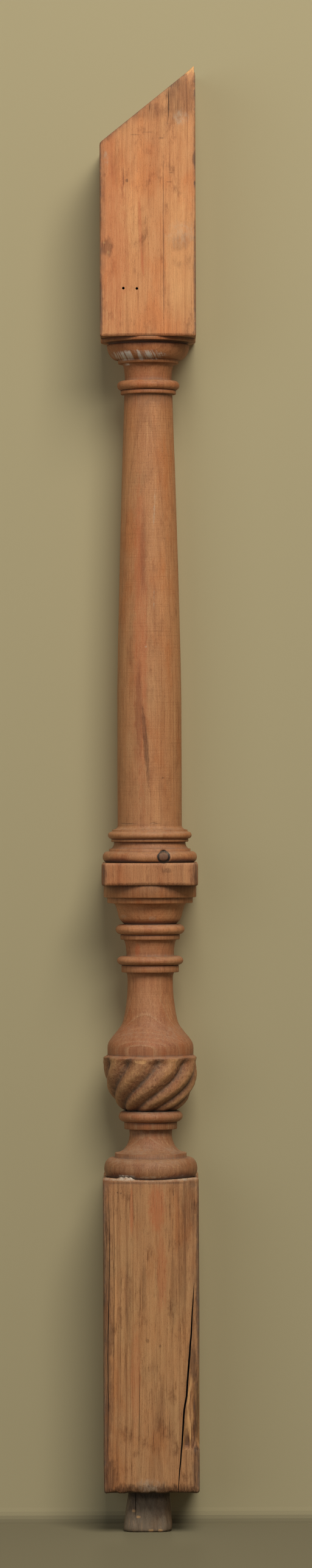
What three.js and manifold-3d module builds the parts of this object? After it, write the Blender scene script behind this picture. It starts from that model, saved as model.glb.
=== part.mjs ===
// Stair baluster of softwood, turned and carved as a column on a vase from one square billet.
// Millimetres. +Z runs up the turning axis, the front faces -Y, and the origin is where the axis
// meets the end of the tenon.
import * as THREE from "three";
import { mergeVertices } from "three/addons/utils/BufferGeometryUtils.js";
import Module from "manifold-3d";

const wasm = await Module();
wasm.setup();

// Billet
const stockSide = 55;
const halfStock = stockSide / 2;
const overallHeight = 838;
const turnedSides = 28;
const sunkIn = 6; // how far a turned stretch runs into the block it grows out of

// Heights of the square blocks, from the tenon's end
const tenonLength = 24;
const lowerBlockTop = 204.5; // at the corners
const middleBlockBottom = 370.4;
const middleBlockTop = 383.3;
const topBlockBottom = 683.8;

// The lower block's turned shoulder is dished: it falls from the corners towards the axis
const dishFall = 0.155; // height lost for each millimetre towards the axis

// The middle block's corners are turned off to this radius
const middleCornerRadius = 37.5;

// Raked top, cut to the pitch of a handrail that climbs towards +X
const rakeSlope = 0.8; // rise over going
const rakeRise = rakeSlope * stockSide;

// Whittled tenon: wider at its end than at the shoulder, and a little off the axis
const tenonHalfAtShoulder = 12;
const tenonHalfAtEnd = 14.5;
const tenonShiftAtShoulder = -1.3;
const tenonShiftAtEnd = -2.5;
const tenonCornerCut = 0.3; // of its half width

// Carved cup under the vase: an ovolo with spiral gadroons
const cupFoot = 240.6;
const cupBelly = 263.9; // the wall is upright above this
const cupRim = 271.5;
const cupLip = 273.0;
const cupFootRadius = 14;
const cupRadius = 27.5;
const cupLipRadius = 24.4;
const cupFullness = 1.6; // power of the superellipse between foot and belly
const lobeCount = 9;
const lobeSides = 8; // facets across one lobe
const lobeDepthAtRim = 2.6;
const lobeDepthAtFoot = 1.3;
const lobeRoundness = 1.45; // 1 gives flat flanks, 2 a round back
const twistAtRim = 24; // degrees of twist over the cup, at the rim's rate
const twistGain = 63; // further degrees, as the cup closes in
const firstGroove = 11.6; // degrees right of the front, at the rim

// Mouldings. Each gives its height, its steps, and the radius and rise at t from 0 to 1.
const sine = (t) => Math.sin((Math.PI / 2) * t);
const cosine = (t) => Math.cos((Math.PI / 2) * t);
const between = (a, b, t) => a + (b - a) * t;
const upwards = (t) => t;

function fillet(height, radius, topRadius = radius) {
  return { height, steps: 1, radius: (t) => between(radius, topRadius, t), rise: upwards };
}

function bead(height, footRadius, crestRadius) {
  return {
    height,
    steps: 6,
    radius: (t) => between(footRadius, crestRadius, sine(2 * t)),
    rise: (t) => (1 - cosine(2 * t)) / 2,
  };
}

// A hollow quarter round, upright at its narrow end.
function hollow(height, bottomRadius, topRadius) {
  const narrowBelow = bottomRadius < topRadius;
  return {
    height,
    steps: 4,
    radius: (t) =>
      narrowBelow
        ? between(bottomRadius, topRadius, 1 - cosine(t))
        : between(topRadius, bottomRadius, 1 - sine(t)),
    rise: (t) => (narrowBelow ? sine(t) : 1 - cosine(t)),
  };
}

// A full quarter round that swells upwards.
function ovolo(height, footRadius, crestRadius) {
  return {
    height,
    steps: 5,
    radius: (t) => between(footRadius, crestRadius, sine(t)),
    rise: (t) => 1 - cosine(t),
  };
}

// A free curve through a few radii at given shares of the height.
function swelling(height, steps, radiusAtShare) {
  const curve = new THREE.SplineCurve(radiusAtShare.map(([share, r]) => new THREE.Vector2(r, share)));
  return { height, steps, radius: (t) => curve.getPoint(t).x, rise: (t) => curve.getPoint(t).y };
}

// A column shaft: upright at its foot, then tapering with a gentle entasis.
function shaft(height, footRadius, neckRadius, uprightShare, entasis) {
  const taper = (t) => Math.max(0, (t - uprightShare) / (1 - uprightShare)) ** entasis;
  return { height, steps: 6, radius: (t) => between(footRadius, neckRadius, taper(t)), rise: upwards };
}

// Stacks mouldings upwards from a height, between two points on the axis.
function turned(bottom, mouldings) {
  const outline = [new THREE.Vector2(0, bottom)];
  let z = bottom;
  for (const { height, steps, radius, rise } of mouldings) {
    for (let i = 0; i <= steps; i++) {
      const t = i / steps;
      outline.push(new THREE.Vector2(radius(t), z + height * rise(t)));
    }
    z += height;
  }
  outline.push(new THREE.Vector2(0, z));
  return lathe(outline, turnedSides);
}

// Turns an outline of (radius, height) about +Z. Steps shorter than this are dropped.
const leastStep = 0.05;

function lathe(outline, sides) {
  const points = outline.filter((p, i) => i === 0 || p.distanceTo(outline[i - 1]) > leastStep);
  return new THREE.LatheGeometry(points, sides).rotateX(Math.PI / 2);
}

// Geometry to solid and back
function solid(geometry) {
  const bare = geometry.clone();
  bare.deleteAttribute("normal");
  bare.deleteAttribute("uv");
  const merged = mergeVertices(bare, 1e-3);
  return new wasm.Manifold(
    new wasm.Mesh({
      numProp: 3,
      vertProperties: merged.attributes.position.array,
      triVerts: new Uint32Array(merged.index.array),
    }),
  );
}

function geometryOf(body) {
  const { vertProperties, triVerts } = body.getMesh();
  const geometry = new THREE.BufferGeometry();
  geometry.setAttribute("position", new THREE.BufferAttribute(vertProperties, 3));
  geometry.setIndex(new THREE.BufferAttribute(triVerts, 1));
  geometry.computeVertexNormals();
  return geometry;
}

// Square block between two heights
function block(bottom, top) {
  const height = top - bottom;
  return new THREE.BoxGeometry(stockSide, stockSide, height).translate(0, 0, bottom + height / 2);
}

function lowerBlock() {
  const reach = stockSide;
  const floorAt = (r) => lowerBlockTop - dishFall * (halfStock * Math.SQRT2 - r);
  const dish = lathe(
    [
      new THREE.Vector2(0, floorAt(0)),
      new THREE.Vector2(reach, floorAt(reach)),
      new THREE.Vector2(reach, lowerBlockTop + reach),
      new THREE.Vector2(0, lowerBlockTop + reach),
    ],
    turnedSides,
  );
  return solid(block(tenonLength, lowerBlockTop)).subtract(solid(dish));
}

function middleBlock() {
  const outline = new THREE.Shape();
  const flatEnd = Math.acos(halfStock / middleCornerRadius);
  for (let face = 0; face < 4; face++) {
    const facing = (face * Math.PI) / 2;
    const next = facing + Math.PI / 2;
    outline.absarc(0, 0, middleCornerRadius, facing + flatEnd, next - flatEnd, false);
  }
  const geometry = new THREE.ExtrudeGeometry(outline, {
    depth: middleBlockTop - middleBlockBottom,
    bevelEnabled: false,
    curveSegments: 2,
  });
  return solid(geometry.translate(0, 0, middleBlockBottom));
}

function topBlock() {
  const outline = new THREE.Shape();
  outline.moveTo(-halfStock, topBlockBottom);
  outline.lineTo(halfStock, topBlockBottom);
  outline.lineTo(halfStock, overallHeight);
  outline.lineTo(-halfStock, overallHeight - rakeRise);
  const geometry = new THREE.ExtrudeGeometry(outline, { depth: stockSide, bevelEnabled: false });
  return solid(geometry.rotateX(Math.PI / 2).translate(0, halfStock, 0));
}

function tenon() {
  const flat = 1 - tenonCornerCut;
  const corners = [];
  for (let side = 0; side < 4; side++) {
    const turn = (side * Math.PI) / 2;
    corners.push(new THREE.Vector2(1, -flat).rotateAround(new THREE.Vector2(), turn));
    corners.push(new THREE.Vector2(1, flat).rotateAround(new THREE.Vector2(), turn));
  }
  const outline = new THREE.Shape(corners);
  const geometry = new THREE.ExtrudeGeometry(outline, {
    depth: tenonLength + sunkIn,
    bevelEnabled: false,
  });
  const position = geometry.attributes.position;
  for (let i = 0; i < position.count; i++) {
    const share = position.getZ(i) / tenonLength;
    const halfWidth = between(tenonHalfAtEnd, tenonHalfAtShoulder, share);
    const shift = between(tenonShiftAtEnd, tenonShiftAtShoulder, share);
    position.setX(i, position.getX(i) * halfWidth + shift);
    position.setY(i, position.getY(i) * halfWidth);
  }
  return solid(geometry);
}

// Height of a lobe's back between two grooves: 0 in the groove, 1 on the crest.
function lobeHeight(turns) {
  const across = turns - Math.floor(turns);
  return 1 - Math.abs(2 * across - 1) ** lobeRoundness;
}

function cup() {
  const steps = 10;
  const outline = [new THREE.Vector2(0, cupFoot)];
  for (let i = 0; i <= steps; i++) {
    const z = between(cupFoot, cupBelly, 1 - cosine(i / steps));
    const below = (cupBelly - z) / (cupBelly - cupFoot);
    const share = (1 - below ** cupFullness) ** (1 / cupFullness);
    outline.push(new THREE.Vector2(between(cupFootRadius, cupRadius, share), z));
  }
  outline.push(new THREE.Vector2(cupRadius, between(cupBelly, cupRim, 0.5)));
  outline.push(new THREE.Vector2(cupRadius, cupRim));
  outline.push(new THREE.Vector2(cupLipRadius, cupLip));
  outline.push(new THREE.Vector2(0, cupLip));
  const geometry = lathe(outline, lobeCount * lobeSides);
  const position = geometry.attributes.position;
  for (let i = 0; i < position.count; i++) {
    const [x, y, z] = [position.getX(i), position.getY(i), position.getZ(i)];
    const radius = Math.hypot(x, y);
    if (radius <= cupLipRadius && z > cupBelly) continue;
    const down = Math.min(1, Math.max(0, (cupRim - z) / (cupRim - cupFoot)));
    const twist = twistAtRim * down + twistGain * down * down;
    const bearing = THREE.MathUtils.radToDeg(Math.atan2(x, -y)); // right of the front
    const turns = ((bearing + twist - firstGroove) * lobeCount) / 360;
    const depth = between(lobeDepthAtRim, lobeDepthAtFoot, down) * (1 - lobeHeight(turns));
    const scale = radius > 0 ? (radius - depth) / radius : 1;
    position.setXY(i, x * scale, y * scale);
  }
  return solid(geometry);
}

// From the lower block's shoulder up to the middle block
function vaseTurning() {
  return turned(lowerBlockTop - 2 * sunkIn, [
    fillet(8.7, 22.5),
    bead(12.7, 22.5, 26.9), // base torus
    fillet(2.7, 20.75),
    hollow(10.8, 20.4, 12.25), // scotia
    fillet(2.9, 12.25, 12.5),
    fillet(4.1, 15.3),
    bead(6.4, 15, 18.5),
    fillet(31.2, 14), // core of the cup
    swelling(48.3, 10, [
      [0, 24.8],
      [0.13, 24.7],
      [0.21, 22.8],
      [0.31, 18.9],
      [0.42, 15.8],
      [0.68, 13.6],
      [0.92, 13.1],
      [1, 13.9],
    ]),
    fillet(4.1, 16.6),
    bead(5.2, 15.6, 19.2),
    hollow(9.5, 13.7, 15.6),
    fillet(2.9, 17.1),
    bead(5.9, 16.3, 19.9),
    swelling(12.2, 6, [
      [0, 14.9],
      [0.08, 15.9],
      [0.28, 17.8],
      [0.6, 18.9],
      [0.9, 20],
      [1, 21.4],
    ]), // bell
    fillet(3.3, 24.7),
    fillet(7 + sunkIn, 26.7),
  ]);
}

// From the middle block up to the top block
function columnTurning() {
  return turned(middleBlockTop - sunkIn, [
    fillet(sunkIn, 24.5),
    bead(6.4, 24.5, 27.2), // lower torus
    fillet(1.6, 23.5),
    hollow(3.9, 22.9, 20.6),
    fillet(1.7, 22.3),
    bead(4.2, 21.8, 24.2), // upper torus
    fillet(1.1, 21.8),
    hollow(2.4, 21.6, 18.55),
    shaft(247.6, 18.55, 13.9, 0.29, 1.25),
    fillet(2.3, 16),
    bead(5.5, 15.2, 18), // astragal
    hollow(9.8, 13.5, 15.4),
    fillet(2.1, 17.5),
    ovolo(8.8, 17.7, 23.8),
    fillet(1.2, 22.8),
    fillet(2 + sunkIn, 27.4),
  ]);
}

const wood = new THREE.MeshStandardMaterial({ color: 0xa8703f, roughness: 0.6, metalness: 0 });

const body = lowerBlock()
  .add(tenon())
  .add(solid(vaseTurning()))
  .add(cup())
  .add(middleBlock())
  .add(solid(columnTurning()))
  .add(topBlock());

const baluster = new THREE.Mesh(geometryOf(body), wood);
baluster.name = "baluster";

const part = new THREE.Group();
part.add(baluster);

export default part;
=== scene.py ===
import math

import bpy
import numpy as np
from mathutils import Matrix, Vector


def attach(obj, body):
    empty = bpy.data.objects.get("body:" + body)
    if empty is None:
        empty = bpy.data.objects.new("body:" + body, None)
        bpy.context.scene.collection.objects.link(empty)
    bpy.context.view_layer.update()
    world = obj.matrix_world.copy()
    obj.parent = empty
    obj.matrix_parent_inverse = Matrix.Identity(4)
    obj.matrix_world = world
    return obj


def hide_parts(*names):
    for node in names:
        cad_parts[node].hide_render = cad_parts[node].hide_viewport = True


# A turned and carved stair baluster of old softwood, standing upright with its front towards -Y.
# Sizes are in millimetres, heights are above the tenon's end.
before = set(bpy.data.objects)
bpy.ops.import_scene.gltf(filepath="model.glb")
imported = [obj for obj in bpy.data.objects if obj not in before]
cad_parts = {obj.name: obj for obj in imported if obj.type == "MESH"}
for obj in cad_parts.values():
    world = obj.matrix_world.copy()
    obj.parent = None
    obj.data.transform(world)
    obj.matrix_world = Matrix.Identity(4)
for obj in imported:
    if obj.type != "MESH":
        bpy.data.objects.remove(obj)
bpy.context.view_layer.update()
mm = 0.001
print("frame loaded")


# Small helpers for arrays of places

def ease(low, high, value):
    t = np.clip((value - low) / (high - low), 0, 1)
    return t * t * (3 - 2 * t)


# smooth lumps from -1 to 1, lump is the size of one along x, y and z
def lumps(place, lump, seed):
    spot = place / np.array(lump) + 37.7 * seed
    cell = np.floor(spot).astype(np.int64)
    share = spot - cell
    share = share * share * (3 - 2 * share)
    total = np.zeros(len(place))
    for corner in range(8):
        step = np.array([corner & 1, corner >> 1 & 1, corner >> 2 & 1])
        key = (cell + step) @ np.array([73856093, 19349663, 83492791]) + 7919 * seed
        key = (key ^ (key >> 13)) * 1274126177
        height = ((key ^ (key >> 16)) & 65535) / 65535
        total += height * np.prod(np.where(step, share, 1 - share), axis=1)
    return 2 * total - 1


# Columns of the skin, by their bearing to the right of the front

columns = {"front": 74, "side": 32, "back": 26, "crowding": 0.45}  # crowding draws them to the arrises


def columnBearings():
    bearings = []
    counts = [columns["front"], columns["side"], columns["back"], columns["side"]]
    for face, count in enumerate(counts):
        even = np.linspace(-1, 1, count, endpoint=False)
        across = even + columns["crowding"] * (np.sin(even * math.pi / 2) - even)
        bearings.append(face * math.pi / 2 + np.arctan(across))
    return np.concatenate(bearings)


bearing = columnBearings()
toRight = np.sin(bearing)
toFront = np.cos(bearing)


# Mouldings, each a list of (radius, rise) from its foot

def shares(steps):
    return np.linspace(0, 1, steps + 1)


def fillet(height, radius, topRadius=None):
    return [(radius, 0), (topRadius or radius, height)]


def bead(height, foot, crest, steps=12):
    return [(foot + (crest - foot) * math.sin(math.pi * t), height * (1 - math.cos(math.pi * t)) / 2)
            for t in shares(steps)]


def hollow(height, bottom, top, steps=8):
    curve = []
    for t in shares(steps) * math.pi / 2:
        if bottom < top:
            curve.append((bottom + (top - bottom) * (1 - math.cos(t)), height * math.sin(t)))
        else:
            curve.append((top + (bottom - top) * (1 - math.sin(t)), height * (1 - math.cos(t))))
    return curve


def ovolo(height, foot, crest, steps=11):
    return [(foot + (crest - foot) * math.sin(t), height * (1 - math.cos(t)))
            for t in shares(steps) * math.pi / 2]


# a free curve through radii at shares of the height
def swelling(height, steps, stations):
    points = np.array(stations, float)
    last = len(points) - 1
    curve = []
    for t in shares(steps) * last:
        i = min(int(t), last - 1)
        w = t - i
        a, b, c, d = (points[min(max(i + k, 0), last)] for k in (-1, 0, 1, 2))
        turnIn, turnOut = (c - a) / 2, (d - b) / 2
        share, radius = ((2 * b - 2 * c + turnIn + turnOut) * w ** 3
                         + (3 * c - 3 * b - 2 * turnIn - turnOut) * w ** 2 + turnIn * w + b)
        curve.append((radius, height * share))
    return curve


def shaft(height, foot, neck, uprightShare, entasis, steps=48):
    return [(foot + (neck - foot) * max(0, (t - uprightShare) / (1 - uprightShare)) ** entasis, height * t)
            for t in shares(steps)]


def stacked(bottom, mouldings):
    outline = []
    for moulding in mouldings:
        outline += [(radius, bottom + rise) for radius, rise in moulding]
        bottom += moulding[-1][1]
    return outline


# takes the bite off every arris and root of a turned outline
def blunted(outline, reach=0.32):
    points = [np.array(outline[0])]
    for point in outline[1:]:
        if np.linalg.norm(points[-1] - point) > 0.02:
            points.append(np.array(point))
    kept = [points[0]]
    for before, here, after in zip(points, points[1:], points[2:]):
        arrive, leave = here - before, after - here
        lengths = np.linalg.norm(arrive), np.linalg.norm(leave)
        if arrive @ leave > 0.9 * lengths[0] * lengths[1]:
            kept.append(here)
        else:
            kept.append(here - arrive * min(reach / lengths[0], 0.45))
            kept.append(here + leave * min(reach / lengths[1], 0.45))
    return kept + [points[-1]]


# The turnings, as the lathe left them

vaseTurning = {"bottom": 201.2, "torusRoot": 202.1}
columnTurning = {"bottom": 383.3}


def footOutline():
    outline = stacked(vaseTurning["bottom"], [
        bead(12.7, 22.5, 26.9, 18),  # base torus
        fillet(2.7, 20.75),
        hollow(10.8, 20.4, 12.25, 12),  # scotia
        fillet(2.9, 12.25, 12.5),
        fillet(4.1, 15.3),
        bead(6.4, 15, 18.5),
    ])
    return blunted([(24.4, vaseTurning["torusRoot"] - 0.1)]
                   + [point for point in outline if point[1] > vaseTurning["torusRoot"] + 0.3])


def vaseOutline():
    return blunted(stacked(272, [
        swelling(48.3, 36, [(0, 24.8), (0.13, 24.7), (0.21, 22.8), (0.31, 18.9),
                            (0.42, 15.8), (0.68, 13.6), (0.92, 13.1), (1, 13.9)]),
        fillet(4.1, 16.6),
        bead(5.2, 15.6, 19.2),
        hollow(9.5, 13.7, 15.6),
        fillet(2.9, 17.1),
        bead(5.9, 16.3, 19.9),
        swelling(12.2, 14, [(0, 14.9), (0.08, 15.9), (0.28, 17.8),  # bell
                            (0.6, 18.9), (0.9, 20), (1, 21.4)]),
        fillet(3.3, 24.7),
        fillet(7, 26.7),
    ]))


def columnOutline():
    return blunted(stacked(columnTurning["bottom"], [
        bead(6.4, 24.5, 27.2, 16),  # lower torus
        fillet(1.6, 23.5),
        hollow(3.9, 22.9, 20.6),
        fillet(1.7, 22.3),
        bead(4.2, 21.8, 24.2),  # upper torus
        fillet(1.1, 21.8),
        hollow(2.4, 21.6, 18.55),
        shaft(247.6, 18.55, 13.9, 0.29, 1.25),
        fillet(2.3, 16),
        bead(5.5, 15.2, 18),  # astragal
        hollow(9.8, 13.5, 15.4),
        fillet(2.1, 17.5),
        ovolo(8.8, 17.7, 23.8),
        fillet(1.2, 22.8),
        fillet(2, 27.4),
    ]))


# The skin is a run of rings from the tenon's end to the raked top

rings = []


def addRing(x, y, z):
    rings.append(np.stack([x + 0 * bearing, y + 0 * bearing, z + 0 * bearing], axis=1))


def addRound(radius, z):
    addRing(radius * toRight, -radius * toFront, z)


# rings between the last one and a target outline, both kept
def addFlat(target, steps):
    start = rings[-1]
    for share in shares(steps)[1:]:
        rings.append(start + (target - start) * share)


def ringOf(reach, z):
    return np.stack([reach * toRight, -reach * toFront, z + 0 * bearing], axis=1)


block = {"half": 27.5, "wear": 0.75, "wearSpread": 0.45, "wearLength": 16}


# how far a square block reaches along each bearing, cut is what its arrises have lost
def squareReach(half, cut):
    power = math.log(2) / -np.log(1 - cut / (half * math.sqrt(2)))
    return half / (abs(toRight) ** power + abs(toFront) ** power) ** (1 / power)


def arrisCut(z, seed):
    quarter = np.floor(bearing / (math.pi / 2)) * 50
    places = np.stack([quarter, 0 * quarter, z + 0 * quarter], axis=1)
    lump = (20, 20, block["wearLength"])
    wornAndShaded = lumps(places, lump, seed) + 0.5 * lumps(places, (20, 20, lump[2] / 4), seed + 1)
    return block["wear"] + block["wearSpread"] * np.maximum(wornAndShaded, -1)


# Tenon, whittled to an octagon that widens to its end

tenon = {"length": 24, "halfAtShoulder": 12, "halfAtEnd": 14.5, "shiftAtShoulder": -1.3, "shiftAtEnd": -2.5,
         "chamferSum": 1.7, "crispness": 26, "roundedEnd": [(0, 1.9), (0.6, 0.9), (1.6, 0.35), (3, 0.05)]}


def tenonRing(z, inset):
    share = z / tenon["length"]
    half = tenon["halfAtEnd"] + (tenon["halfAtShoulder"] - tenon["halfAtEnd"]) * share - inset
    shift = tenon["shiftAtEnd"] + (tenon["shiftAtShoulder"] - tenon["shiftAtEnd"]) * share
    power = tenon["crispness"]
    sides = abs(toRight) ** power + abs(toFront) ** power
    chamfers = ((abs(toRight) + abs(toFront)) / tenon["chamferSum"]) ** power
    reach = half / (sides + chamfers) ** (1 / power)
    outline = ringOf(reach, z)
    outline[:, 0] += shift
    return outline


def addTenon():
    end = tenonRing(0, tenon["roundedEnd"][0][1])
    centre = np.array([tenon["shiftAtEnd"], 0, 0])
    for share in (0.12, 0.35, 0.58, 0.8, 0.93):
        rings.append(centre + (end - centre) * share)
    for z, inset in tenon["roundedEnd"]:
        rings.append(tenonRing(z, inset))
    for z in np.linspace(4.5, tenon["length"] - 0.1, 11):
        rings.append(tenonRing(z, 0))


# Lower block, square below and dished above

lowerBlock = {"bottom": 24, "topAtCorner": 204.5, "dishFall": 0.155, "rows": 70,
              "edge": [(0, 0.95), (0.45, 0.4), (1.3, 0.1)],
              "rim": [(1.5, 0.05), (0.8, 0.3), (0.25, 0.8), (0, 1.5)]}


def dishAt(radius):
    return lowerBlock["topAtCorner"] - lowerBlock["dishFall"] * (block["half"] * math.sqrt(2) - radius)


def addLowerBlock():
    bottom = lowerBlock["bottom"]
    for i, (rise, inset) in enumerate(lowerBlock["edge"]):
        ringAtEdge = ringOf(squareReach(block["half"], arrisCut(bottom, 3)) - inset, bottom + rise)
        if i == 0:
            addFlat(ringAtEdge, 5)
        else:
            rings.append(ringAtEdge)
    for share in shares(lowerBlock["rows"])[1:]:
        z = bottom + 2 + (lowerBlock["topAtCorner"] - 4 - bottom) * share
        reach = squareReach(block["half"], arrisCut(z, 3))
        follow = ease(0.85, 1, share)
        top = dishAt(reach) - lowerBlock["rim"][0][0] - 0.7
        rings.append(ringOf(reach, z + (top - (lowerBlock["topAtCorner"] - 2)) * follow))
    reach = squareReach(block["half"], arrisCut(lowerBlock["topAtCorner"], 3))
    for drop, inset in lowerBlock["rim"]:
        rings.append(ringOf(reach - inset, dishAt(reach - inset) - drop))
    foot = footOutline()
    inner = ringOf(foot[0][0], foot[0][1])
    start = rings[-1]
    for share in (0.25, 0.5, 0.75, 0.9):
        across = start + (inner - start) * share
        across[:, 2] = dishAt(np.hypot(across[:, 0], across[:, 1]))
        rings.append(across)
    for radius, z in foot:
        addRound(radius, z)


# Carved cup, a full quarter round with nine lobes that wind down to the left

cup = {"foot": 240.7, "belly": 263.9, "rim": 271.5, "lip": 272.9, "footRadius": 14,
       "radius": 27.5, "lipRadius": 24.9,
       "fullness": 1.6, "lobes": 9, "depthAtRim": 3.6, "depthAtFoot": 2.1, "roundness": 1.5,
       "twist": 24, "twistGain": 63, "firstGroove": 11.6, "rows": 44}


def lobeTurns(z):
    down = np.clip((cup["rim"] - z) / (cup["rim"] - cup["foot"]), 0, 1)
    twist = cup["twist"] * down + cup["twistGain"] * down * down
    return down, (np.degrees(bearing) + twist - cup["firstGroove"]) * cup["lobes"] / 360


def cupRing(radius, z):
    down, turns = lobeTurns(z)
    across = turns - np.floor(turns)
    groove = abs(2 * across - 1) ** cup["roundness"]
    depth = cup["depthAtRim"] + (cup["depthAtFoot"] - cup["depthAtRim"]) * down
    depth *= 0.3 + 0.7 * ease(cup["rim"] + 0.2, cup["rim"] - 4, z)
    return ringOf(radius - depth * groove, z)


def addCup():
    low, belly = cup["foot"], cup["belly"]
    for share in shares(cup["rows"]):
        z = low + (cup["rim"] - 0.25 - low) * (0.75 * share + 0.25 * share ** 2.2)
        below = max(0, (belly - z) / (belly - low))
        out = (1 - below ** cup["fullness"]) ** (1 / cup["fullness"])
        rings.append(cupRing(cup["footRadius"] + (cup["radius"] - cup["footRadius"]) * out, z))
    rings.append(cupRing(cup["radius"] - 0.3, cup["rim"] + 0.15))
    rim = rings[-1]
    lip = ringOf(cup["lipRadius"] - 0.1, cup["lip"])
    for share in (0.35, 0.7, 1):
        rings.append(rim + (lip - rim) * share)
    for radius, z in vaseOutline():
        if z > cup["lip"] + 0.3:
            addRound(radius, z)


# Middle block, its corners turned off

middleBlock = {"bottom": 370.4, "top": 383.3, "cornerRadius": 37.5, "cut": 0.3, "rows": 8,
               "edge": [(0, 0.7), (0.3, 0.25), (0.9, 0.05)]}


def middleReach():
    turned = middleBlock["cornerRadius"] + 0 * bearing
    return np.minimum(squareReach(block["half"], middleBlock["cut"]), turned)


def addMiddleBlock():
    reach = middleReach()
    bottom, top = middleBlock["bottom"], middleBlock["top"]
    for i, (rise, inset) in enumerate(middleBlock["edge"]):
        if i == 0:
            addFlat(ringOf(reach - inset, bottom), 4)
        else:
            rings.append(ringOf(reach - inset, bottom + rise))
    for z in np.linspace(bottom + 1.8, top - 1.8, middleBlock["rows"]):
        rings.append(ringOf(reach, z))
    for rise, inset in reversed(middleBlock["edge"]):
        rings.append(ringOf(reach - inset, top - rise))
    outline = columnOutline()
    addFlat(ringOf(outline[0][0], top), 4)
    for radius, z in outline[1:]:
        addRound(radius, z)


# Top block, sawn off to the pitch of the handrail

topBlock = {"bottom": 683.8, "rakeAtAxis": 816, "rakeSlope": 0.8, "rows": 60, "tiltPower": 2.2,
            "edge": [(0, 0.6), (0.3, 0.2), (0.9, 0.02)], "rakeEdge": [(0.9, 0.03), (0.3, 0.15), (0, 0.45)]}


def rakeAt(x):
    return topBlock["rakeAtAxis"] + topBlock["rakeSlope"] * x


def addTopBlock():
    bottom = topBlock["bottom"]
    for i, (rise, inset) in enumerate(topBlock["edge"]):
        outline = ringOf(squareReach(block["half"], arrisCut(bottom, 7) * 0.7) - inset, bottom + rise)
        if i == 0:
            addFlat(outline, 3)
        else:
            rings.append(outline)
    first = bottom + 2
    for share in shares(topBlock["rows"])[:-1]:
        level = first + (topBlock["rakeAtAxis"] - first) * share
        outline = ringOf(squareReach(block["half"], arrisCut(level, 7) * 0.7), level)
        tilt = share ** topBlock["tiltPower"]
        outline[:, 2] += topBlock["rakeSlope"] * outline[:, 0] * tilt
        rings.append(outline)
    for drop, inset in topBlock["rakeEdge"]:
        outline = ringOf(squareReach(block["half"], 0.6) - inset, 0)
        outline[:, 2] = rakeAt(outline[:, 0]) - drop
        rings.append(outline)
    edge = rings[-1]
    centre = np.array([0, 0, topBlock["rakeAtAxis"]])
    for share in (0.93, 0.8, 0.62, 0.44, 0.26, 0.1):
        rings.append(centre + (edge - centre) * share)


addTenon()
addLowerBlock()
addCup()
addMiddleBlock()
addTopBlock()
print("skin of", len(rings), "rings and", len(bearing), "columns")


# Grain. The pith runs up inside the billet, behind the middle and a little right of it

pith = {"x": 2.5, "y": 11, "wander": 1.8, "wanderLength": 190, "waviness": 0.12}
knot = {"x": 7.9, "y": -26, "z": 386.8, "radius": 3.1, "bend": 2.6, "reach": 7}


# places measured from the pith, bent round the knot
def grainPlaces(place):
    sway = np.stack([0 * place[:, 2], 0 * place[:, 2], place[:, 2]], axis=1)
    long = (40, 40, pith["wanderLength"])
    grain = place.copy()
    grain[:, 0] -= pith["x"] + pith["wander"] * lumps(sway, long, 11)
    grain[:, 1] -= pith["y"] + pith["wander"] * lumps(sway, long, 12)
    grain[:, 0] += pith["waviness"] * lumps(place, (9, 9, 48), 13)
    grain[:, 1] += pith["waviness"] * lumps(place, (9, 9, 48), 14)
    away = place - np.array([knot["x"], knot["y"], knot["z"]])
    distance = np.linalg.norm(away, axis=1) + 0.5
    push = knot["bend"] * np.exp(-(distance / knot["reach"]) ** 2) / distance
    grain[:, 0] -= away[:, 0] * push
    grain[:, 1] -= 4 * push
    return grain


# Relief, how far the surface lies inside the plain skin

relief = {  # depth, size of a lump along x, y and z, and seed
    "lowerWave": (0.1, (13, 13, 70), 23), "topWave": (0.07, (16, 16, 90), 24),
    "turnedWave": (0.09, (18, 18, 14), 25), "raisedGrain": (0.16, (4, 4, 40), 26),
    "whittling": (0.35, (5, 5, 12), 30), "serration": (0.22, (1.3, 1.3, 1.1), 31),
}
ringGap = 1.45
fades = {  # heights between which a stretch begins, and between which it ends
    "lower": ((23, 24), (203.5, 201)), "middle": ((370, 371), (383.5, 382.5)),
    "whittled": ((0.5, 3), (24.5, 23.5)), "carved": ((240, 243), (272.2, 271)),
    "wornLower": ((23, 25), (203, 200)), "wornMiddle": ((370, 371), (384, 383)),
    "wornCup": ((241, 244), (272.5, 271)), "dish": ((201, 201.7), (204.4, 203.4)),
    "crumbs": ((201, 201.5), (205, 204.4)), "shoulder": ((197, 203), (206, 204)),
    "gouged": ((241, 244), (272.2, 271)), "vaseRings": ((205, 212), (312, 296)),
}
shake = {"path": [(24.4, 143.9), (22.6, 112.6), (21.7, 102.9), (20.6, 88.3), (20.1, 79.4),
                  (18.6, 72), (18, 62), (17.4, 52.9), (16.4, 41.5), (15.4, 31.4), (15.1, 22.5)],
         "width": 1.15, "depth": 9}
tornStrip = {"bottom": 49.6, "top": 97, "depth": 2.1, "ridge": 1.7}
brokenTip = {"z": 832.6, "x": 20.5, "depth": 0.8}


def within(name, z):
    begins, ends = fades[name]
    return ease(*begins, z) * ease(*ends, z)


def roughness(share, place, name, along=1):
    depth, lump, seed = relief[name]
    return share * depth * along * (1 + lumps(place, lump, seed))


def shakeAt(z):
    xs, zs = np.array(shake["path"][::-1]).T
    return np.interp(z, zs, xs)


# how strongly a place lies in the strip torn off beside the shake
def tornShare(place):
    x, y, z = place.T
    ragged = 0.9 * lumps(place, (1.6, 9, 7), 21)
    along = ease(tornStrip["bottom"] - 0.6, tornStrip["bottom"] + 0.6, z + 2.5 * ragged)
    along *= 1 - ease(tornStrip["bottom"] + 12, tornStrip["top"], z + 8 * ragged)
    beside = ease(0.4, 2.2, x - shakeAt(z) + 0.6 * ragged)
    return along * beside * ease(-16, -20, y)


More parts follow.
